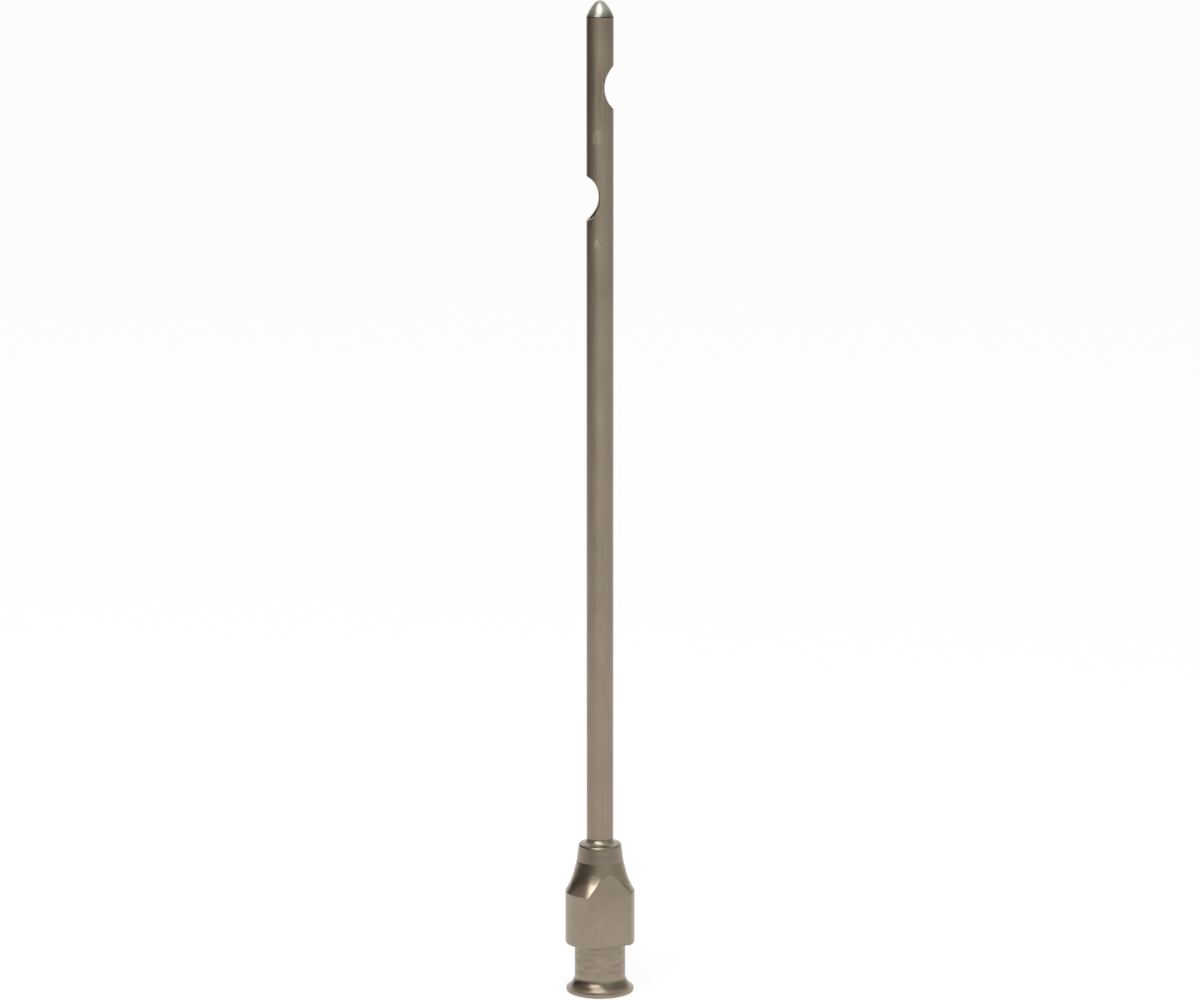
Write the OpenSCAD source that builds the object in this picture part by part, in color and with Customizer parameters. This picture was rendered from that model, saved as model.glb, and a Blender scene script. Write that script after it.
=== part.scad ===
// Blunt side-port cannula needle on a turned metal luer hub, in millimetres.
// The needle stands on its hub: the origin is the centre of the flange's base face, and +Z runs
// along the bore to the tip. The upper side port opens towards +X, the lower one towards -X.

/* [Tube] */
// Outer diameter of the cannula tube
tube_od = 3.05; // [2.4:0.05:3.4]
// Wall of the cannula tube
tube_wall = 0.33; // [0.2:0.01:0.45]
// Free tube between the hub's nose and the tip's shoulder
tube_free_l = 95.05; // [60:0.05:150]

/* [Side ports] */
// Distance of the upper port's middle below the tip's shoulder
upper_port_drop = 7.8; // [6:0.1:20]
// Radius of the cutter that opens the upper port
upper_port_r = 3.2; // [2:0.1:4]
// Depth of the upper port's cut into the tube
upper_port_depth = 1.15; // [0.5:0.05:1.8]
// Distance of the lower port's middle below the upper port's middle
lower_port_drop = 12.5; // [8:0.1:30]
// Radius of the cutter that opens the lower port
lower_port_r = 2.9; // [2:0.05:4]
// Depth of the lower port's cut into the tube
lower_port_depth = 1.5; // [0.5:0.05:1.8]

/* [Tip] */
// Height of the bullet tip above its shoulder
tip_h = 1.9; // [1.6:0.02:2.6]
// Radius of the tip's blunt end
tip_end_r = 0.75; // [0.4:0.05:0.9]
// Slope of the tip's side where it leaves the shoulder, in degrees from the axis
tip_base_angle = 16; // [10:1:22]

/* [Hub body] */
// Diameter of the round body
body_d = 8; // [7:0.1:10]
// Length of the round body
body_l = 6.1; // [4:0.1:10]
// Step from the neck out to the two milled grip flats
flat_step = 0.05; // [0.02:0.01:0.5]
// Angle of the front flat about the axis, from -Y towards +X
flat_angle = 17; // [-45:1:45]

/* [Hub nose] */
// Length of the nose above the body
nose_l = 5.65; // [4:0.05:8]
// Diameter of the nose at its lip
nose_d = 4.95; // [4.5:0.05:5.4]
// Length of the nose's straight taper, lip included
nose_taper_l = 2; // [1:0.05:2.5]
// Slope of the straight taper, in degrees from the axis
nose_slope = 7; // [4:0.5:12]
// Radius of the lip's rounded edge
lip_round_r = 0.3; // [0.1:0.05:0.4]

/* [Hub neck and flange] */
// Diameter of the neck
neck_d = 5.85; // [5.5:0.05:6.2]
// Height of the body's lower shoulder above the base
neck_h = 5.85; // [3:0.05:8]
// Diameter of the round base flange
flange_d = 7.8; // [7:0.1:8.2]
// Thickness of the flange at its rim
flange_rim_t = 0.4; // [0.25:0.05:0.6]
// Radius of the sweep from the neck out to the rim
flange_sweep_r = 1.9; // [0.9:0.05:2.4]
// Bevel of the flange's lower edge
edge_bevel = 0.08; // [0.02:0.01:0.15]
// Rounding of the body's lower edge
edge_round = 0.1; // [0.04:0.01:0.2]

/* [Luer socket] */
// Diameter of the tapered socket at its mouth
socket_mouth_d = 4.3; // [4.27:0.005:4.32]
// Depth of the socket, down to the end of its taper
socket_l = 9; // [7.5:0.1:10]
// Bevel at the socket's mouth
socket_bevel = 0.12; // [0.05:0.01:0.2]
// Length of the throat between the socket and the tube's seat
throat_l = 0.8; // [0.4:0.1:1.5]

/* [Brazed joint] */
// Clearance round the tube in the hub's bore
tube_gap = 0.03; // [0.01:0.005:0.06]
// Largest radius of the hollow braze fillet between the nose's face and the tube
braze_r = 0.8; // [0.4:0.05:0.9]
// Depth of the braze cup round the tube
cup_h = 0.35; // [0.2:0.05:0.6]
// Width of the braze cup at the nose's face
cup_w = 0.25; // [0.15:0.05:0.35]

/* [Hidden] */
$fn = 128;

// Loss of diameter per unit of depth in a luer taper
luer_taper_share = 0.06;
// Half the point angle of the drill that ends the socket
drill_half_angle = 59;
// Turn between an arc and the straight side that it crosses, in degrees
join_turn = 4;
// Turn between the braze and the faces that it wets, in degrees
wet_turn = 15;
// Steps in the lip's rounded edge
lip_steps = 8;
// Overrun of every cut past the surface that it opens
cut_over = 1;
// Overlap of two pieces of one outline
outline_lap = 0.2;

// Radii
tube_r = tube_od / 2;
bore_r = tube_r - tube_wall;
body_r = body_d / 2;
nose_r = nose_d / 2;
neck_r = neck_d / 2;
flange_r = flange_d / 2;
seat_r = tube_r + tube_gap;
mouth_r = socket_mouth_d / 2;
floor_r = mouth_r - (socket_l - socket_bevel) * luer_taper_share / 2;

// Heights
nose_z = neck_h + body_l + nose_l;
taper_z = nose_z - nose_taper_l;
throat_z = socket_l + (floor_r - bore_r) / tan(drill_half_angle);
seat_z = throat_z + throat_l;
shoulder_z = nose_z + tube_free_l;
upper_port_z = shoulder_z - upper_port_drop;
lower_port_z = upper_port_z - lower_port_drop;

// Waist of the nose: one hollow arc from the foot of the straight taper to the body's upper edge
taper_foot_r = nose_r + (nose_taper_l - lip_round_r) * tan(nose_slope);
waist_w = body_r - taper_foot_r;
waist_h = nose_l - nose_taper_l;
waist_start = nose_slope + join_turn;
waist_r = norm([waist_w, waist_h]) / (2 * sin(atan2(waist_w, waist_h) - waist_start));
waist_centre = [taper_foot_r + waist_r * cos(waist_start), taper_z + waist_r * sin(waist_start)];

// Sweep above the flange: one hollow arc from the neck to the rim's upper edge
sweep_r_out = neck_r + flange_sweep_r * cos(join_turn);
sweep_z = flange_rim_t + sqrt(pow(flange_sweep_r, 2) - pow(flange_r - sweep_r_out, 2));

// Fillet of the braze: no wider than the nose's flat face that carries it
face_w = nose_r - lip_round_r - tube_r;
fillet_r = min(braze_r, face_w / (cos(wet_turn) - sin(wet_turn)));

// Side of the tip: one full arc from the shoulder, which a ball meets smoothly at the blunt end
ball_z = tip_h - tip_end_r;
side_reach = pow(tube_r, 2) + pow(ball_z, 2) - pow(tip_end_r, 2);
side_r = side_reach / (2 * (tube_r * cos(tip_base_angle) - ball_z * sin(tip_base_angle) - tip_end_r));
side_centre = [tube_r - side_r * cos(tip_base_angle), -side_r * sin(tip_base_angle)];
meet_angle = atan2(ball_z - side_centre[1], -side_centre[0]);
meet_z = side_centre[1] + side_r * sin(meet_angle);

// Half outline of the hub's turned outside, drawn as radius and height
module hub_outline() {
    // Thin-rimmed flange and the sweep above it
    difference() {
        polygon([
            [0, 0],
            [flange_r - edge_bevel, 0],
            [flange_r, edge_bevel],
            [flange_r, sweep_z],
            [0, sweep_z]
        ]);
        translate([sweep_r_out, sweep_z])
            circle(r = flange_sweep_r);
    }
    // Neck
    square([neck_r, neck_h + outline_lap]);
    // Round body and the hollow waist above it
    difference() {
        translate([0, neck_h])
            square([body_r, taper_z + outline_lap - neck_h]);
        translate(waist_centre)
            circle(r = waist_r);
        // What the rounded lower edge loses
        difference() {
            translate([body_r - edge_round, neck_h - outline_lap])
                square(edge_round + outline_lap);
            translate([body_r - edge_round, neck_h + edge_round])
                circle(r = edge_round / cos(join_turn));
        }
    }
    // Straight taper up to the rounded lip, carried down into the waist
    polygon(concat(
        [
            [0, neck_h + outline_lap],
            [taper_foot_r, neck_h + outline_lap],
            [taper_foot_r + outline_lap * tan(nose_slope), taper_z - outline_lap]
        ],
        [
            for (i = [0 : lip_steps])
                [nose_r, nose_z]
                    - lip_round_r * [1, 1]
                    + lip_round_r * [cos(90 * i / lip_steps), sin(90 * i / lip_steps)]
        ],
        [[0, nose_z]]
    ));
}

// Half outline of all that is bored out of the hub: luer taper, drill point, throat, seat and cup
module hub_bore_outline() {
    polygon([
        [0, -cut_over],
        [mouth_r + socket_bevel + cut_over, -cut_over],
        [mouth_r, socket_bevel],
        [floor_r, socket_l],
        [bore_r, throat_z],
        [bore_r, seat_z],
        [seat_r, seat_z],
        [seat_r, nose_z - cup_h],
        [seat_r + cup_w * (cup_h + cut_over) / cup_h, nose_z + cut_over],
        [0, nose_z + cut_over]
    ]);
}

// Room that the cutter clears beside one grip flat
module flat_cut() {
    translate([-body_r, -neck_r - flat_step - body_r, neck_h - outline_lap])
        cube([body_d, body_r, nose_z - neck_h]);
}

// Cutter of a side port: a round bar across the tube, on the side of the tube that it opens
module port_cut(side, height, cut_r, depth) {
    translate([side * (tube_r - depth + cut_r), 0, height])
        rotate([90, 0, 0])
            cylinder(h = tube_od + 2 * cut_over, r = cut_r, center = true);
}

// Turned hub: flange, neck, round body with two milled flats, waisted nose, luer socket, tube seat
module hub() {
    color([0.62, 0.57, 0.51])
        difference() {
            rotate_extrude()
                hub_outline();
            rotate_extrude()
                hub_bore_outline();
            for (turn = [0, 180])
                rotate([0, 0, flat_angle + turn])
                    flat_cut();
        }
}

// Drawn tube, open at both ends, with two staggered side ports
module cannula_tube() {
    color([0.57, 0.52, 0.46])
        difference() {
            translate([0, 0, seat_z])
                cylinder(h = shoulder_z - seat_z, r = tube_r);
            translate([0, 0, seat_z - cut_over])
                cylinder(h = shoulder_z - seat_z + 2 * cut_over, r = bore_r);
            port_cut(1, upper_port_z, upper_port_r, upper_port_depth);
            port_cut(-1, lower_port_z, lower_port_r, lower_port_depth);
        }
}

// Solid bullet tip, butt welded to the end of the tube, which it closes
module bullet_tip() {
    color([0.80, 0.78, 0.74])
        translate([0, 0, shoulder_z])
            rotate_extrude() {
                intersection() {
                    translate(side_centre)
                        circle(r = side_r);
                    square([tube_r, meet_z]);
                }
                intersection() {
                    translate([0, ball_z])
                        circle(r = tip_end_r);
                    square([tube_r, tip_h]);
                }
            }
}

// Braze that fills the cup and rises in a hollow fillet from the nose's face to the tube
module hub_braze_ring() {
    color([0.83, 0.80, 0.74])
        translate([0, 0, nose_z])
            rotate_extrude() {
                translate([tube_r, 0])
                    difference() {
                        square(fillet_r * cos(wet_turn));
                        translate(fillet_r * cos(wet_turn) * [1, 1])
                            circle(r = fillet_r);
                    }
                polygon([[tube_r, -cup_h], [seat_r, -cup_h], [seat_r + cup_w, 0], [tube_r, 0]]);
            }
}

hub();
cannula_tube();
bullet_tip();
hub_braze_ring();
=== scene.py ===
import math

import bmesh
import bpy
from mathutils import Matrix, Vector


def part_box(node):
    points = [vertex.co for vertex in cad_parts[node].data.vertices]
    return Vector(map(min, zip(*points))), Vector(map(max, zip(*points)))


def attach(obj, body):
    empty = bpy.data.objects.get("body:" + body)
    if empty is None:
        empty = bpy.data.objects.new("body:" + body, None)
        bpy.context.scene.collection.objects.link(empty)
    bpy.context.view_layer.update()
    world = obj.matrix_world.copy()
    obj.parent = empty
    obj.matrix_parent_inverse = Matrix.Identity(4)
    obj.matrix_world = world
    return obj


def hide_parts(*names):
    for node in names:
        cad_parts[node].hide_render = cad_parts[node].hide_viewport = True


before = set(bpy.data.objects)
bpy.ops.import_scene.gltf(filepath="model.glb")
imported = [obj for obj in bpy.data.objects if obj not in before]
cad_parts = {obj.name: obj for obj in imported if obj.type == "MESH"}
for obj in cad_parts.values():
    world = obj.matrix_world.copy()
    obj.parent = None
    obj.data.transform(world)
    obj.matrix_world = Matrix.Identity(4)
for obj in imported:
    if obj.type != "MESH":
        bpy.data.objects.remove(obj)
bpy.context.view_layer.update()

MM = 0.001
# Tolerance in millimetres for telling heights and radii apart
HAIR = 0.001


def high(node, axis):
    """Highest coordinate of a node along an axis, in millimetres."""
    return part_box(node)[1][axis] / MM


# Sizes of the needle in millimetres: the frame's own, then those that its boxes don't give
X, Z = 0, 2
BODY_R, TUBE_R = high("hub", X), high("cannula_tube", X)
NOSE_Z, SHOULDER_Z, APEX_Z = high("hub", Z), high("cannula_tube", Z), high("bullet_tip", Z)
SEAT_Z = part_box("cannula_tube")[0].z / MM
TUBE_WALL, TUBE_GAP = 0.33, 0.03
BORE_R, SEAT_R = TUBE_R - TUBE_WALL, TUBE_R + TUBE_GAP
FLANGE_R, RIM_T, SWEEP_R = 3.9, 0.4, 1.9
NECK_R, NECK_H, BODY_L = 2.925, 5.85, 6.1
BODY_Z = NECK_H + BODY_L
NOSE_R, TAPER_L, SLOPE, LIP_R = 2.475, 2.0, 7.0, 0.3
TAPER_Z = NOSE_Z - TAPER_L
FLARE_FOOT, FLARE_END, FLARE_PULL = 13.0, 31.0, 0.82
FLAT_H, FLAT_ANGLE = 2.975, 17.0
JOIN_TURN, WET_TURN = 4.0, 15.0
MOUTH_R, SOCKET_L, SOCKET_BEVEL, LUER_SHARE = 2.15, 9.0, 0.12, 0.03
FLOOR_R = MOUTH_R - (SOCKET_L - SOCKET_BEVEL) * LUER_SHARE
DRILL_ANGLE = 59.0
THROAT_Z = SOCKET_L + (FLOOR_R - BORE_R) / math.tan(math.radians(DRILL_ANGLE))
CUP_H, CUP_W, BRAZE_R = 0.35, 0.25, 0.8
TIP_H, TIP_END_R, TIP_ANGLE = APEX_Z - SHOULDER_Z, 0.75, 16.0
# Side ports: the side that each opens, its height, the cutter's radius and the cut's depth
UPPER_PORT = (1, SHOULDER_Z - 7.8, 3.2, 1.15)
LOWER_PORT = (-1, SHOULDER_Z - 20.3, 2.9, 1.5)

# Roundings of the hub's edges in millimetres
FINE_EDGE, RIM_EDGE, SWEEP_EDGE, WAIST_EDGE = 0.03, 0.09, 0.05, 0.05
NECK_CORNER, BODY_EDGE, CUP_EDGE = 0.04, 0.1, 0.02

# The camera that the photograph's outlines give, in millimetres and degrees
CAMERA_D, CAMERA_Z, CAMERA_PITCH, CAMERA_TURN = 492.3, 147.3, 10.3, 5.0
FOCAL_PX, FRAME_PX, SENSOR_MM = 4392.0, 1200.0, 36.0


def sin(a):
    return math.sin(math.radians(a))


def cos(a):
    return math.cos(math.radians(a))


def angle(y, x):
    return math.degrees(math.atan2(y, x))


# Outlines

def arc(centre, radius, a0, a1, steps):
    """Points on an arc, angles in degrees."""
    turns = [a0 + (a1 - a0) * i / steps for i in range(steps + 1)]
    return [(centre[0] + radius * cos(a), centre[1] + radius * sin(a)) for a in turns]


def rounded(corners, steps=6):
    """A closed outline from corners of (r, z, rounding)."""
    out = []
    for i, (r, z, fillet) in enumerate(corners):
        here = Vector((r, z))
        before = Vector(corners[i - 1][:2]) - here
        after = Vector(corners[(i + 1) % len(corners)][:2]) - here
        if fillet <= 0:
            out.append((r, z))
            continue
        reach = fillet / math.tan(before.angle(after) / 2)
        back = min(reach, before.length * 0.45, after.length * 0.45)
        start, end = here + before.normalized() * back, here + after.normalized() * back
        for s in range(steps + 1):
            t = s / steps
            out.append(tuple(start * (1 - t) ** 2 + here * 2 * t * (1 - t) + end * t ** 2))
    return out


def divided(points, step, brink=0.03):
    """A closed outline whose long sides are divided, with a point close to each end."""
    out = []
    for i, p in enumerate(points):
        a, b = Vector(p), Vector(points[(i + 1) % len(points)])
        length = (b - a).length
        out.append(tuple(a))
        if length <= 3 * brink:
            continue
        count = max(1, math.ceil((length - 2 * brink) / step))
        places = [brink + (length - 2 * brink) * k / count for k in range(count + 1)]
        out += [tuple(a.lerp(b, place / length)) for place in places]
    return out


# Meshes

def finish_mesh(name, bm):
    """Makes a smooth object of a bmesh."""
    bmesh.ops.recalc_face_normals(bm, faces=bm.faces)
    mesh = bpy.data.meshes.new(name)
    bm.to_mesh(mesh)
    bm.free()
    mesh.shade_smooth()
    obj = bpy.data.objects.new(name, mesh)
    bpy.context.scene.collection.objects.link(obj)
    return obj


def join_rings(bm, rings, closed):
    """Faces between rings, and from the last back to the first where it is closed."""
    pairs = list(zip(rings[:-1], rings[1:])) + ([(rings[-1], rings[0])] if closed else [])
    for low, up in pairs:
        for j in range(len(low)):
            k = (j + 1) % len(low)
            bm.faces.new((low[j], low[k], up[k], up[j]))


def ring_of(bm, r, z, turns, shape=None):
    """One ring of points. shape(r, z, turn) may move each."""
    ring = []
    for a in turns:
        rr, zz = shape(r, z, a) if shape else (r, z)
        ring.append(bm.verts.new((rr * cos(a) * MM, rr * sin(a) * MM, zz * MM)))
    return ring


def lathe(name, loop, turns, shape=None):
    """A solid turned from a closed (r, z) outline. turns(r, z) gives each ring's angles."""
    bm = bmesh.new()
    join_rings(bm, [ring_of(bm, r, z, turns(r, z), shape) for r, z in loop], True)
    return finish_mesh(name, bm)


def bar(name, points, count):
    """A solid turned from an outline that starts and ends on the axis."""
    bm = bmesh.new()
    turns = [360 * i / count for i in range(count)]
    rings = [ring_of(bm, r, z, turns) for r, z in points[1:-1]]
    join_rings(bm, rings, False)
    for end, ring in ((points[0], rings[0]), (points[-1], rings[-1])):
        pole = bm.verts.new((0, 0, end[1] * MM))
        for j in range(count):
            bm.faces.new((pole, ring[(j + 1) % count], ring[j]))
    return finish_mesh(name, bm)


def apply_modifiers(obj):
    """Makes an object's modifiers part of its mesh."""
    graph = bpy.context.evaluated_depsgraph_get()
    mesh = bpy.data.meshes.new_from_object(obj.evaluated_get(graph))
    obj.modifiers.clear()
    obj.data = mesh


def cut(target, cutter):
    """Cuts one object from another for good."""
    bpy.context.view_layer.update()
    step = target.modifiers.new("cut", "BOOLEAN")
    step.operation, step.solver, step.object = "DIFFERENCE", "EXACT", cutter
    apply_modifiers(target)
    bpy.data.objects.remove(cutter)


# Hub

# Half angles that a flat takes of the body, and where it has run out
HALF_MAX = math.degrees(math.acos(FLAT_H / BODY_R))
HALF_MIN = 0.8
FLAT_COLUMNS, ROUND_COLUMNS, BRINK_TURN = 44, 72, 0.35
ARCH_ROWS, FLARE_ROWS, SWEEP_ROWS = 44, 12, 26
CORNER_STEPS, SIDE_STEP = 8, 0.5
# How softly a milled edge breaks, in millimetres
BREAK = 0.009


def waist_point(t):
    """Point of the nose's hollow flare, from the body's upper edge (0) to the taper's foot (1)."""
    foot = NOSE_R + (TAPER_L - LIP_R) * math.tan(math.radians(SLOPE))
    low, up = Vector((BODY_R, BODY_Z)), Vector((foot, TAPER_Z))
    down = Vector((sin(FLARE_FOOT), -cos(FLARE_FOOT)))
    out = Vector((-sin(FLARE_END), cos(FLARE_END)))
    share = (low - up).cross(out) / down.cross(out)
    bend = up + down * share
    a, b = low.lerp(bend, FLARE_PULL), up.lerp(bend, FLARE_PULL)
    return low * (1 - t) ** 3 + a * 3 * t * (1 - t) ** 2 + b * 3 * t ** 2 * (1 - t) + up * t ** 3


def waist_at(r):
    """Point of the flare at a radius, found by halving."""
    start, end = 0.0, 1.0
    for _ in range(40):
        middle = (start + end) / 2
        if waist_point(middle)[0] > r:
            start = middle
        else:
            end = middle
    return tuple(waist_point(end))


def waist_arc():
    """Points of the flare, close together where the flats' arches run."""
    halves = [HALF_MAX + (HALF_MIN - HALF_MAX) * i / ARCH_ROWS for i in range(ARCH_ROWS + 1)]
    radii = [FLAT_H / cos(half) for half in halves]
    top = waist_point(1)[0]
    radii += [FLAT_H + (top - FLAT_H) * i / FLARE_ROWS for i in range(1, FLARE_ROWS + 1)]
    return [waist_at(r) for r in radii]


def sweep_arc():
    """Hollow arc above the flange, from the rim's upper edge in to the neck."""
    out = NECK_R + SWEEP_R * cos(JOIN_TURN)
    z = RIM_T + math.sqrt(SWEEP_R ** 2 - (FLANGE_R - out) ** 2)
    start = angle(RIM_T - z, FLANGE_R - out) % 360
    return arc((out, z), SWEEP_R, start, 180 + JOIN_TURN, SWEEP_ROWS)


def hub_loop():
    """The hub's closed outline, from the socket's mouth out, up and back down the bore."""
    sweep, waist = sweep_arc(), waist_arc()
    corners = [(MOUTH_R + SOCKET_BEVEL, 0, FINE_EDGE), (FLANGE_R, 0, RIM_EDGE)]
    corners += [(*sweep[0], SWEEP_EDGE)] + [(*p, 0) for p in sweep[1:]]
    corners += [(NECK_R, NECK_H, NECK_CORNER), (BODY_R, NECK_H, BODY_EDGE)]
    corners += [(*waist[0], WAIST_EDGE)] + [(*p, 0) for p in waist[1:]]
    corners += [(NOSE_R - LIP_R * math.tan(math.radians(SLOPE)), NOSE_Z, LIP_R)]
    corners += [(SEAT_R + CUP_W, NOSE_Z, CUP_EDGE)]
    corners += [(SEAT_R, NOSE_Z - CUP_H, 0), (SEAT_R, SEAT_Z, 0), (BORE_R, SEAT_Z, 0)]
    corners += [(BORE_R, THROAT_Z, FINE_EDGE), (FLOOR_R, SOCKET_L, FINE_EDGE)]
    corners += [(MOUTH_R, SOCKET_BEVEL, FINE_EDGE)]
    return divided(rounded(corners, CORNER_STEPS), SIDE_STEP)


def flat_half(r, z):
    """Half the angle that a flat takes of the ring through a point of the outline."""
    if r < NOSE_R:
        return max(HALF_MIN, HALF_MAX * (1 - z / SOCKET_L))
    if z <= NECK_H + HAIR:
        return HALF_MAX
    return max(HALF_MIN, math.degrees(math.acos(min(1, FLAT_H / r))))


def hub_turns(r, z):
    """Angles of a ring, with columns that run along the flats' edges."""
    half = flat_half(r, z)
    out = []
    for side in (0, 180):
        middle = FLAT_ANGLE - 90 + side
        for start, end, count in ((middle - half, middle + half, FLAT_COLUMNS),
                                  (middle + half, middle + 180 - half, ROUND_COLUMNS)):
            brink = min(BRINK_TURN, (end - start) / 8)
            inner = end - start - 4 * brink
            out += [start, start + brink]
            out += [start + 2 * brink + inner * i / count for i in range(count + 1)]
            out += [end - brink]
    return out


def mill_flats(r, z, a):
    """Clips a turned radius at the two flats and breaks their edges slightly."""
    facing = abs(cos(a - (FLAT_ANGLE - 90)))
    if z < NECK_H - HAIR or r < NOSE_R or facing < 0.5:
        return r, z
    if z < NECK_H + HAIR and r < NECK_R + 0.1:
        return r, z
    flat = FLAT_H / facing
    low = min(r, flat)
    soft = BREAK * math.log(math.exp((low - r) / BREAK) + math.exp((low - flat) / BREAK))
    return low - soft, z


def make_hub():
    return lathe("hub_turned", hub_loop(), hub_turns, mill_flats)


# Braze

# How far its surface wanders up and out, over what height, in millimetres
WANDER_UP, WANDER_OUT, WANDER_H = 0.04, 0.02, 0.3
BRAZE_COLUMNS = 180


def flowed(r, z, a):
    """The braze's free surface wanders a little, as it set."""
    if z <= NOSE_Z + 0.02:
        return r, z
    wander = 0.5 * sin(2 * a + 40) + 0.3 * sin(5 * a + 110) + 0.2 * sin(9 * a)
    share = min(1.0, (z - NOSE_Z) / WANDER_H)
    if r < TUBE_R + HAIR:
        return r, z - WANDER_UP * share * (1 + wander)
    return max(TUBE_R, r - WANDER_OUT * share * (1 + wander)), z


def make_braze():
    """The braze that fills the cup and rises up the tube in a hollow fillet."""
    reach = BRAZE_R * cos(WET_TURN)
    fillet = arc((TUBE_R + reach, NOSE_Z + reach), BRAZE_R, 270 - WET_TURN, 180 + WET_TURN, 16)
    loop = [(TUBE_R, NOSE_Z - CUP_H), (SEAT_R, NOSE_Z - CUP_H), (SEAT_R + CUP_W, NOSE_Z)]
    loop += fillet + [(TUBE_R, fillet[-1][1] - 0.1)]
    turns = [360 * i / BRAZE_COLUMNS for i in range(BRAZE_COLUMNS)]
    return lathe("braze_fillet", loop, lambda r, z: turns, flowed)


# Tube

TUBE_COLUMNS, BORE_COLUMNS, PORT_COLUMNS = 160, 128, 180
# Ring spacing: near the ports, within what distance of one, elsewhere, and at the ends
NEAR_STEP, NEAR_PORT, FAR_STEP, FIRST_ROW, LAST_ROW = 0.12, 3.2, 1.5, 0.5, 0.04
EDGE_BEVEL, EDGE_ANGLE, SHARP_ANGLE = 0.035, 32, 40


def round_bar(name, radius, z0, z1, rows, count):
    """A straight round bar with extra rings at the heights in rows."""
    points = [(0, z0), (radius, z0)] + [(radius, z) for z in rows] + [(radius, z1), (0, z1)]
    return bar(name, points, count)


def port_bar(side, height, radius, depth):
    """The round cutter across the tube that opens a port."""
    half_l = 2 * TUBE_R
    cutter = bar("port_bar", [(0, -half_l), (radius, -half_l), (radius, half_l), (0, half_l)],
                 PORT_COLUMNS)
    cutter.rotation_euler = (math.radians(90), 0, 0)
    cutter.location = (side * (TUBE_R - depth + radius) * MM, 0, height * MM)
    return cutter


def tube_rows():
    """Heights of the tube's rings, close together at the ports."""
    rows, z = [], SEAT_Z + FIRST_ROW
    while z < SHOULDER_Z - LAST_ROW:
        rows.append(z)
        near = min(abs(z - UPPER_PORT[1]), abs(z - LOWER_PORT[1]))
        z += NEAR_STEP if near < NEAR_PORT else FAR_STEP
    return rows + [SHOULDER_Z - LAST_ROW]


def make_tube():
    """The drawn tube with its bore and its two side ports."""
    tube = round_bar("cannula_drawn", TUBE_R, SEAT_Z, SHOULDER_Z, tube_rows(), TUBE_COLUMNS)
    cut(tube, round_bar("tube_bore", BORE_R, SEAT_Z - 1, SHOULDER_Z + 1, [], BORE_COLUMNS))
    for port in (UPPER_PORT, LOWER_PORT):
        cut(tube, port_bar(*port))
    edges = tube.modifiers.new("edges", "BEVEL")
    edges.limit_method, edges.angle_limit = "ANGLE", math.radians(EDGE_ANGLE)
    edges.width, edges.segments = EDGE_BEVEL * MM, 2
    apply_modifiers(tube)
    tube.data.shade_smooth()
    tube.data.set_sharp_from_angle(angle=math.radians(SHARP_ANGLE))
    return tube


# Tip

TIP_COLUMNS, SIDE_ROWS, END_ROWS = 144, 24, 18
# The fine line at its foot: how far it stands back below and above, and its height
LINE_LOW, LINE_UP, LINE_H = 0.03, 0.006, 0.02


def make_tip():
    """The bullet tip: a long arc at the side that runs into a round end."""
    ball_z = TIP_H - TIP_END_R
    reach = TUBE_R ** 2 + ball_z ** 2 - TIP_END_R ** 2
    side_r = reach / (2 * (TUBE_R * cos(TIP_ANGLE) - ball_z * sin(TIP_ANGLE) - TIP_END_R))
    centre = (TUBE_R - side_r * cos(TIP_ANGLE), -side_r * sin(TIP_ANGLE))
    meet = angle(ball_z - centre[1], -centre[0])
    side = arc(centre, side_r, TIP_ANGLE, meet, SIDE_ROWS)
    end = arc((0, ball_z), TIP_END_R, meet, 90, END_ROWS)
    points = [(0, 0), (TUBE_R - LINE_LOW, 0), (TUBE_R - LINE_UP, LINE_H)] + side[1:] + end[1:]
    return bar("tip_polished", [(r, z + SHOULDER_Z) for r, z in points], TIP_COLUMNS)


# Materials

# Where most of a noise lies, and the mix node's sockets for two colours and their result
NOISE_RANGE = (0.3, 0.7)
MIX_A, MIX_B, MIX_RESULT = 6, 7, 2


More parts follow.
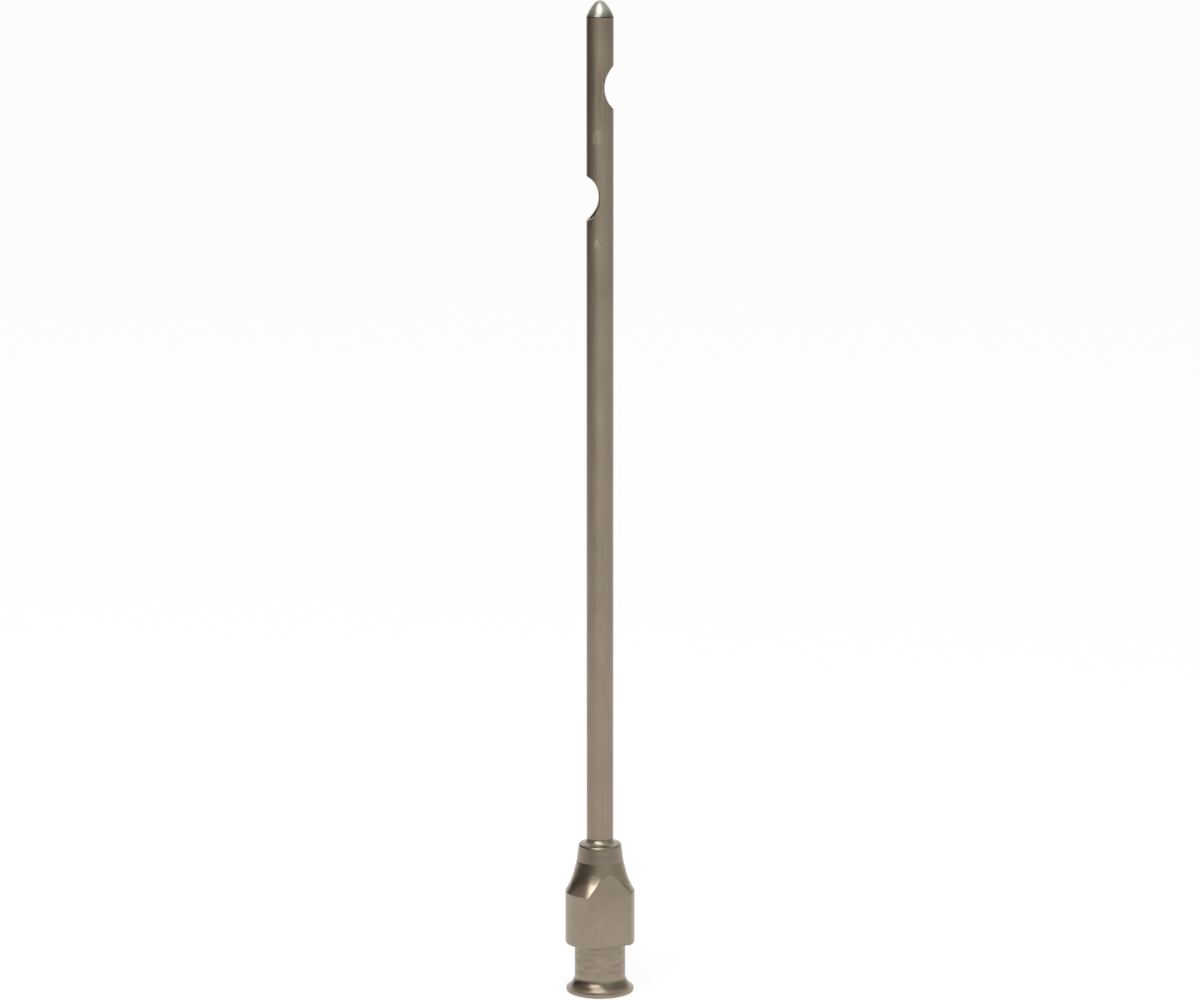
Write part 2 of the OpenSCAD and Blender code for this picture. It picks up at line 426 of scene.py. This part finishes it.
class Nodes:
    """A material's node tree, written in short calls."""

    def __init__(self, name):
        self.material = bpy.data.materials.new(name)
        self.material.use_nodes = True
        self.tree = self.material.node_tree
        self.tree.nodes.clear()
        scaled = self.add("VectorMath")
        scaled.operation = "SCALE"
        self.put(scaled, 0, self.add("TexCoord").outputs["Object"])
        self.put(scaled, "Scale", 1 / MM)
        self.where = scaled.outputs[0]
        self.x, self.y, self.z = self.split(self.where)

    def add(self, kind):
        return self.tree.nodes.new("ShaderNode" + kind)

    def put(self, node, socket, value):
        target = node.inputs[socket]
        if isinstance(value, bpy.types.NodeSocket):
            self.tree.links.new(value, target)
        else:
            target.default_value = value

    def split(self, vector):
        node = self.add("SeparateXYZ")
        self.put(node, 0, vector)
        return node.outputs

    def math(self, operation, a, b=0.0):
        node = self.add("Math")
        node.operation = operation
        self.put(node, 0, a)
        self.put(node, 1, b)
        return node.outputs[0]

    def times(self, *values):
        out = values[0]
        for value in values[1:]:
            out = self.math("MULTIPLY", out, value)
        return out

    def total(self, *values):
        out = values[0]
        for value in values[1:]:
            out = self.math("ADD", out, value)
        return out

    def remap(self, value, low, high, to_low, to_high):
        node = self.add("MapRange")
        for socket, v in enumerate((value, low, high, to_low, to_high)):
            self.put(node, socket, v)
        return node.outputs[0]

    def spread(self, noise, to_low, to_high):
        """A noise spread over another range."""
        return self.remap(noise, *NOISE_RANGE, to_low, to_high)

    def noise(self, scale, detail=3.0, rough=0.5, stretch=(1, 1, 1)):
        """Noise with scale cells in a millimetre, stretched along each axis."""
        place = self.add("Mapping")
        self.put(place, "Vector", self.where)
        self.put(place, "Scale", tuple(s * scale for s in stretch))
        node = self.add("TexNoise")
        self.put(node, "Vector", place.outputs[0])
        self.put(node, "Scale", 1.0)
        self.put(node, "Detail", detail)
        self.put(node, "Roughness", rough)
        return node.outputs["Fac"]

    def around(self, value, middle, half, soft):
        """One within half of the middle, and falling to zero beyond."""
        away = self.math("ABSOLUTE", self.math("SUBTRACT", value, middle))
        return self.remap(away, half, half + soft, 1.0, 0.0)

    def patch(self, height, across, half_h, half_w):
        """One on a small patch of the front, at a height and a distance across."""
        front = self.remap(self.y, -0.2, 0.2, 1.0, 0.0)
        return self.times(self.around(self.z, height, half_h, half_h),
                          self.around(self.x, across, half_w, half_w), front)

    def on_flats(self):
        """One on the two milled flats and zero on what is turned."""
        node = self.add("VectorMath")
        node.operation = "DOT_PRODUCT"
        self.put(node, 0, self.where)
        self.put(node, 1, (cos(FLAT_ANGLE - 90), sin(FLAT_ANGLE - 90), 0))
        out = self.math("ABSOLUTE", node.outputs["Value"])
        return self.times(self.remap(out, FLAT_H - 0.05, FLAT_H - 0.02, 0.0, 1.0),
                          self.remap(self.z, NECK_H - 0.02, NECK_H, 0.0, 1.0))

    def shaded(self, colour, share):
        """A colour times a share that changes over the surface."""
        grey = self.add("CombineColor")
        for socket in range(3):
            self.put(grey, socket, share)
        node = self.add("Mix")
        node.data_type, node.blend_type = "RGBA", "MULTIPLY"
        self.put(node, 0, 1.0)
        self.put(node, MIX_A, (*colour, 1))
        self.put(node, MIX_B, grey.outputs[0])
        return node.outputs[MIX_RESULT]

    def metal(self, colour, rough, relief, depth):
        """Ends the tree in a metal surface with a relief of that depth in millimetres."""
        shader = self.add("BsdfPrincipled")
        self.put(shader, "Metallic", 1.0)
        self.put(shader, "Base Color", colour)
        self.put(shader, "Roughness", rough)
        bump = self.add("Bump")
        self.put(bump, "Distance", depth * MM)
        self.put(bump, "Height", relief)
        self.put(shader, "Normal", bump.outputs[0])
        self.put(self.add("OutputMaterial"), 0, shader.outputs[0])
        return self.material


# Base colours of the hub, tube, tip and braze
SATIN = (0.334, 0.275, 0.210)
DRAWN = (0.326, 0.268, 0.206)
POLISHED = (0.53, 0.51, 0.465)
BRAZED = (0.36, 0.315, 0.25)


def hub_material():
    """Satin metal with turning rings, milled flats and painted shade in the corners."""
    n = Nodes("hub_satin")
    flats = n.on_flats()
    turned = n.math("SUBTRACT", 1.0, flats)
    nose = n.times(turned, n.remap(n.z, BODY_Z - 0.1, BODY_Z + 0.1, 0.0, 1.0))
    flange = n.remap(n.z, 1.6, 2.4, 1.0, 0.0)
    cloud = n.noise(0.5)
    grain = n.noise(9.0, 4, 0.6)
    rings = n.noise(1.0, 4, 0.65, (0.12, 0.12, 2.6))
    fine_rings = n.noise(1.0, 3, 0.6, (0.3, 0.3, 7.0))
    milled = n.noise(1.0, 3, 0.6, (1.2, 1.2, 5.0))
    smear = n.noise(1.0, 4, 0.7, (0.45, 0.45, 1.6))
    # By height in millimetres: smeared neck, painted shade under the body, flats darker towards
    # the top, nose, painted shade in the flange's hollow
    neck = n.around(n.z, 4.0, 1.6, 0.4)
    # painted shade: a darker band on the neck just under the body's overhang
    painted_shade_under_body = n.around(n.z, NECK_H - 0.12, 0.08, 0.25)
    # the flats darker towards the top
    flats_darker_up = n.times(flats, n.remap(n.z, 8.5, 12.5, 0.0, 1.0))
    upper = n.times(turned, n.remap(n.z, 13.5, 15.5, 0.0, 1.0))
    # painted shade: a darker band in the hollow above the flange
    painted_shade_flange_hollow = n.times(n.around(n.z, 1.15, 0.3, 0.2), turned)
    share = n.total(n.spread(cloud, 0.94, 1.06), n.times(flats_darker_up, -0.16),
                    n.times(upper, -0.14),
                    n.times(n.spread(rings, -0.07, 0.07), turned),
                    n.times(n.spread(milled, -0.03, 0.03), flats),
                    n.times(n.remap(smear, 0.45, 0.7, 0.0, -0.3), neck),
                    n.times(painted_shade_under_body, -0.12), n.times(painted_shade_flange_hollow, -0.38))
    smooth = n.math("MAXIMUM", nose, n.times(flange, 0.8))
    rough = n.total(n.spread(cloud, 0.31, 0.35), n.times(smooth, -0.08),
                    n.spread(grain, -0.02, 0.02))
    relief = n.total(n.times(n.total(rings, n.times(fine_rings, 0.35)), turned),
                     n.times(milled, flats, 0.6), n.times(grain, 0.12))
    return n.metal(n.shaded(SATIN, share), rough, relief, 0.008)


def tube_material():
    """Drawn metal with fine lines along it, rubbed spots and scratches by the upper port."""
    n = Nodes("tube_drawn")
    lines = n.noise(1.0, 4, 0.65, (7.0, 7.0, 0.12))
    grain = n.noise(9.0, 4, 0.6)
    cloud = n.noise(1.0, 4, 0.6, (0.5, 0.5, 0.16))
    spots = n.remap(n.noise(1.6, 3, 0.6), 0.66, 0.74, 0.0, 1.0)
    # A rubbed spot below each port, scratches beside the upper one, the braze's brown edge, and
    # faint rings below the tip
    rubbed = n.math("MAXIMUM", n.patch(UPPER_PORT[1] - 5.5, -0.45, 0.5, 0.3),
                    n.patch(LOWER_PORT[1] - 5.1, -0.45, 0.4, 0.25))
    scratched = n.patch(UPPER_PORT[1] - 0.6, 0.12, 2.2, 0.3)
    marks = n.noise(1.0, 3, 0.7, (6.0, 6.0, 3.0))
    scores = n.noise(1.0, 3, 0.7, (11.0, 11.0, 0.35))
    weld = n.around(n.z, NOSE_Z + 0.58, 0.03, 0.1)
    turned = n.times(n.around(n.z, SHOULDER_Z - 1.3, 0.9, 0.5),
                     n.noise(1.0, 2, 0.5, (0.2, 0.2, 5.0)))
    share = n.total(n.spread(cloud, 0.91, 1.08), n.spread(lines, -0.06, 0.06),
                    n.times(turned, -0.12),
                    # painted shade: the tube darker towards its upper end
                    n.times(n.remap(n.z, 70.0, 100.0, 0.0, 1.0), -0.1),
                    n.times(rubbed, n.remap(marks, 0.4, 0.65, -0.15, 0.45)),
                    n.times(scratched, n.remap(scores, 0.45, 0.65, 0.0, -0.35)),
                    n.times(spots, -0.12), n.times(weld, -0.5))
    rough = n.total(n.spread(lines, 0.36, 0.44), n.spread(grain, -0.03, 0.03),
                    n.times(rubbed, 0.08))
    relief = n.total(lines, n.times(grain, 0.3), n.times(rubbed, marks, 1.5),
                     n.times(scratched, scores, 1.2))
    return n.metal(n.shaded(DRAWN, share), rough, relief, 0.005)


def tip_material():
    """Polished metal with painted shade that darkens it towards the joint with the tube."""
    n = Nodes("tip_polish")
    cloud = n.noise(1.2)
    turning = n.noise(1.0, 3, 0.6, (0.3, 0.3, 6.0))
    joint = n.around(n.z, SHOULDER_Z, 0.05, 0.08)
    # painted shade: the tip darker towards its foot
    painted_shade_tip_foot = n.remap(n.z, SHOULDER_Z, SHOULDER_Z + 0.9, 1.0, 0.0)
    share = n.total(n.spread(cloud, 0.94, 1.04), n.times(joint, -0.3),
                    n.times(painted_shade_tip_foot, -0.7))
    rough = n.total(n.spread(turning, 0.29, 0.34), n.times(joint, 0.1))
    return n.metal(n.shaded(POLISHED, share), rough, turning, 0.001)


def braze_material():
    """Bright metal with the uneven surface of a melt that has set."""
    n = Nodes("braze_bright")
    cloud = n.noise(2.2, 4, 0.6)
    grain = n.noise(8.0)
    share = n.spread(cloud, 0.75, 1.1)
    rough = n.total(n.spread(cloud, 0.22, 0.32), n.spread(grain, -0.02, 0.02))
    return n.metal(n.shaded(BRAZED, share), rough, n.total(cloud, n.times(grain, 0.15)), 0.03)


def dress(obj, material):
    """Gives an object one material."""
    obj.data.materials.clear()
    obj.data.materials.append(material)


# Floor, cards, light and camera

# The ground's radius in metres, its grey in the light and how white it looks
GROUND_R, GROUND_GREY, GROUND_WHITE = 5.0, 0.82, 0.86
# The world's strength as a light and as it is seen
WORLD_LIGHT, WORLD_SEEN = 0.95, 1.0
# Radius of the wall of cards and height of the ceiling, in metres
CARD_R, CEILING_Z = 0.56, 0.95


def seen_share(tree):
    """One for camera, glossy and transmission rays, and zero for the rest."""
    path = tree.nodes.new("ShaderNodeLightPath")
    out = path.outputs["Is Camera Ray"]
    for name in ("Is Glossy Ray", "Is Transmission Ray"):
        node = tree.nodes.new("ShaderNodeMath")
        node.operation = "MAXIMUM"
        tree.links.new(out, node.inputs[0])
        tree.links.new(path.outputs[name], node.inputs[1])
        out = node.outputs[0]
    return out


def make_floor():
    """A pale floor that looks white and still takes a faint shadow."""
    bm = bmesh.new()
    bmesh.ops.create_circle(bm, cap_ends=True, segments=96, radius=GROUND_R)
    floor = finish_mesh("floor", bm)
    material = bpy.data.materials.new("floor_white")
    material.use_nodes = True
    tree = material.node_tree
    tree.nodes.clear()
    matt = tree.nodes.new("ShaderNodeBsdfDiffuse")
    matt.inputs["Color"].default_value = (GROUND_GREY, GROUND_GREY, GROUND_GREY, 1)
    white = tree.nodes.new("ShaderNodeEmission")
    white.inputs["Strength"].default_value = 1.0
    part = tree.nodes.new("ShaderNodeMath")
    part.operation = "MULTIPLY"
    tree.links.new(seen_share(tree), part.inputs[0])
    part.inputs[1].default_value = GROUND_WHITE
    mix = tree.nodes.new("ShaderNodeMixShader")
    tree.links.new(part.outputs[0], mix.inputs[0])
    tree.links.new(matt.outputs[0], mix.inputs[1])
    tree.links.new(white.outputs[0], mix.inputs[2])
    out = tree.nodes.new("ShaderNodeOutputMaterial")
    tree.links.new(mix.outputs[0], out.inputs[0])
    dress(floor, material)


def make_world():
    """A white world, a little weaker as a light than as a background."""
    world = bpy.data.worlds.new("studio")
    bpy.context.scene.world = world
    world.use_nodes = True
    tree = world.node_tree
    tree.nodes.clear()
    shades = []
    for strength in (WORLD_LIGHT, WORLD_SEEN):
        shade = tree.nodes.new("ShaderNodeBackground")
        shade.inputs["Color"].default_value = (1, 1, 1, 1)
        shade.inputs["Strength"].default_value = strength
        shades.append(shade)
    mix = tree.nodes.new("ShaderNodeMixShader")
    tree.links.new(seen_share(tree), mix.inputs[0])
    tree.links.new(shades[0].outputs[0], mix.inputs[1])
    tree.links.new(shades[1].outputs[0], mix.inputs[2])
    out = tree.nodes.new("ShaderNodeOutputWorld")
    tree.links.new(mix.outputs[0], out.inputs[0])


def round_place(turn, radius, z):
    """A place round the object, by its turn to the right from the camera's side."""
    return (radius * sin(turn - CAMERA_TURN), -radius * cos(turn - CAMERA_TURN), z)


def make_card(name, bm, colour):
    """A studio card that glows with its own even colour and shows only in the object's
    reflections.
    """
    obj = finish_mesh(name, bm)
    for kind in ("camera", "diffuse", "transmission", "volume_scatter", "shadow"):
        setattr(obj, "visible_" + kind, False)
    material = bpy.data.materials.new(name)
    material.use_nodes = True
    tree = material.node_tree
    tree.nodes.clear()
    shade = tree.nodes.new("ShaderNodeEmission")
    shade.inputs["Color"].default_value = (*colour, 1)
    out = tree.nodes.new("ShaderNodeOutputMaterial")
    tree.links.new(shade.outputs[0], out.inputs[0])
    dress(obj, material)


def wall_card(name, turns, levels, colour, radius=CARD_R):
    """A card bent round the object."""
    bm = bmesh.new()
    count = 24
    rows = [[bm.verts.new(round_place(turns[0] + (turns[1] - turns[0]) * i / count, radius, z))
             for i in range(count + 1)] for z in levels]
    for low, up in zip(rows[:-1], rows[1:]):
        for i in range(count):
            bm.faces.new((low[i], low[i + 1], up[i + 1], up[i]))
    make_card(name, bm, colour)


def ceiling_card(name, colour):
    """A round card that closes the wall of cards from above."""
    bm = bmesh.new()
    bmesh.ops.create_circle(bm, cap_ends=True, segments=48, radius=CARD_R)
    bmesh.ops.translate(bm, verts=bm.verts, vec=(0, 0, CEILING_Z))
    make_card(name, bm, colour)


def lamp(name, place, aim, size, power):
    """An area light at a place, turned to its aim. Sizes in metres, power in watts."""
    data = bpy.data.lights.new(name, "AREA")
    data.shape, data.size, data.size_y = "RECTANGLE", size[0], size[1]
    data.energy = power
    obj = bpy.data.objects.new(name, data)
    bpy.context.scene.collection.objects.link(obj)
    obj.location = place
    obj.rotation_euler = (Vector(aim) - Vector(place)).to_track_quat("-Z", "Y").to_euler()


def make_camera():
    """The camera that the photograph was fitted with."""
    data = bpy.data.cameras.new("camera")
    data.sensor_width = SENSOR_MM
    data.lens = FOCAL_PX / FRAME_PX * SENSOR_MM
    data.clip_start, data.clip_end = 0.01, 50
    camera = bpy.data.objects.new("camera", data)
    bpy.context.scene.collection.objects.link(camera)
    camera.location = round_place(0, CAMERA_D * MM, CAMERA_Z * MM)
    camera.rotation_euler = (math.radians(90 - CAMERA_PITCH), 0, -math.radians(CAMERA_TURN))
    bpy.context.scene.camera = camera


# The needle
for make, node, slot, material in (
        (make_hub, "hub", "hub_metal", hub_material()),
        (make_tube, "cannula_tube", "tube_steel", tube_material()),
        (make_tip, "bullet_tip", "tip_steel", tip_material()),
        (make_braze, "hub_braze_ring", "braze", braze_material())):
    piece = make()
    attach(piece, "root")
    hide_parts(node)
    dress(piece, material)
    dress(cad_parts[node], material)

# The studio
make_floor()
make_world()
wall_card("card_left_foot", (-140, -34), (0.0, 0.11), (0.10, 0.085, 0.07), 0.36)
wall_card("card_left_low", (-140, -34), (0.0, 0.2), (0.10, 0.085, 0.07))
for turn, grey in ((-34, 0.18), (-22, 0.32), (-10, 0.46), (2, 0.60)):
    wall_card("card_step", (turn, turn + 12), (0.0, 0.2), (grey, grey * 0.98, grey * 0.94))
wall_card("card_left_high", (-140, -10), (0.2, CEILING_Z), (0.40, 0.37, 0.33))
wall_card("card_front_foot", (14, 140), (0.0, 0.04), (0.35, 0.36, 0.34))
wall_card("card_front_low", (14, 60), (0.04, 0.2), (0.72, 0.73, 0.70))
wall_card("card_front_high", (-10, 60), (0.2, 0.5), (0.70, 0.70, 0.67))
wall_card("card_right_low", (60, 140), (0.04, 0.1), (0.72, 0.75, 0.68))
wall_card("card_right", (60, 140), (0.1, 0.5), (0.45, 0.48, 0.42))
wall_card("card_high", (-10, 140), (0.5, CEILING_Z), (0.6, 0.61, 0.58))
ceiling_card("card_ceiling", (0.7, 0.7, 0.7))
lamp("soft_box", round_place(-12, 0.30, 0.57), (0, 0, 0.04), (0.40, 0.38), 1.2)
lamp("key", round_place(-24, 0.47, 0.32), (0, 0, 0.02), (0.40, 0.19), 1.0)
make_camera()
bpy.context.scene.view_settings.view_transform = "Standard"
